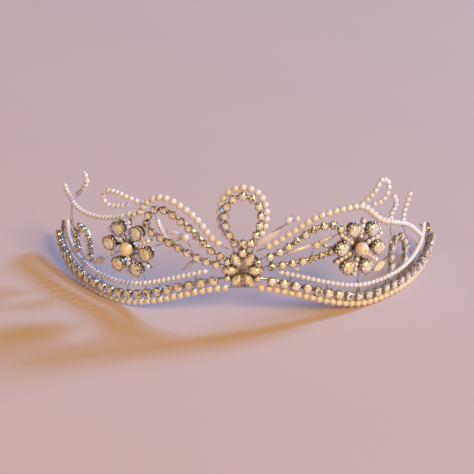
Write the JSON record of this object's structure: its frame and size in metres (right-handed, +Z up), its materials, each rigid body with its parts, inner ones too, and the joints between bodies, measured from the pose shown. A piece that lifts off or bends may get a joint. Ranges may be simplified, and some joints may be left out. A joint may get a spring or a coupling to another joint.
{
  "type": "bridal tiara",
  "caption": "Open bridal tiara: curved wire band with rows of pearls and crystals, two leaf loops, two flowers, a centre loop and sprigs.",
  "frame": {"origin": "centre of the footprint, on the surface that the bottom pearl row rests on", "axes": "+Z up; the front of the tiara, with the centre cluster, faces -Y; the ends of the band point to +Y; +X is the wearer's left"},
  "size_m": [0.154, 0.0752, 0.0546],
  "materials": {
    "base_wire_metal": "satin antiqued silver",
    "setting_metal": "satin silver with dark recesses",
    "fine_wire": "satin silver",
    "pearl": "cream pearl lustre",
    "white_seed": "white pearl lustre",
    "crystal": "clear faceted crystal",
    "warm_crystal": "clear faceted crystal with a warm foil",
    "bugle_glass": "clear glass bead"
  },
  "bodies": {
    "root": {"base_wire": "base_wire_metal", "left_end_eyelet": "base_wire_metal", "right_end_eyelet": "base_wire_metal", "rim_stays": "base_wire_metal", "lower_rim_wire": "fine_wire", "lower_rim_pearls": "pearl", "rim_settings": "setting_metal", "rim_stones": "crystal", "upper_rim_wire": "fine_wire", "upper_rim_seed_beads": "white_seed", "left_leaf_wire": "fine_wire", "left_leaf_settings": "setting_metal", "left_leaf_stones": "crystal", "right_leaf_wire": "fine_wire", "right_leaf_settings": "setting_metal", "right_leaf_stones": "crystal", "left_arch_wire": "fine_wire", "left_arch_pearls": "pearl", "right_arch_wire": "fine_wire", "right_arch_pearls": "pearl", "centre_backplate": "setting_metal", "navette_settings": "setting_metal", "navette_stones": "warm_crystal", "centre_round_settings": "setting_metal", "centre_round_stones": "crystal", "centre_loop_wire": "fine_wire", "centre_loop_settings": "setting_metal", "centre_loop_stones": "crystal", "centre_loop_pearl_wire": "fine_wire", "centre_loop_pearls": "pearl", "centre_sprig_wires": "fine_wire", "centre_sprig_pearls": "pearl", "left_flower_backplate": "setting_metal", "left_flower_settings": "setting_metal", "left_flower_stones": "warm_crystal", "left_flower_seed_beads": "white_seed", "left_flower_pearl": "pearl", "left_flower_stem": "setting_metal", "right_flower_backplate": "setting_metal", "right_flower_settings": "setting_metal", "right_flower_stones": "warm_crystal", "right_flower_seed_beads": "white_seed", "right_flower_pearl": "pearl", "right_flower_stem": "setting_metal", "left_tip_loop_wire": "fine_wire", "left_tip_loop_beads": "white_seed", "right_tip_loop_wire": "fine_wire", "right_tip_loop_beads": "white_seed", "left_end_sprig_wires": "fine_wire", "left_end_sprig_beads": "white_seed", "right_end_sprig_wires": "fine_wire", "right_end_sprig_beads": "white_seed", "outer_leaf_wires": "fine_wire", "outer_leaf_settings": "setting_metal", "outer_leaf_stones": "crystal", "spray_wires": "fine_wire", "spray_bugles": "bugle_glass", "spray_pearls": "pearl", "crystal_leaf_pins": "fine_wire", "crystal_leaves": "warm_crystal"}
  },
  "joints": []
}
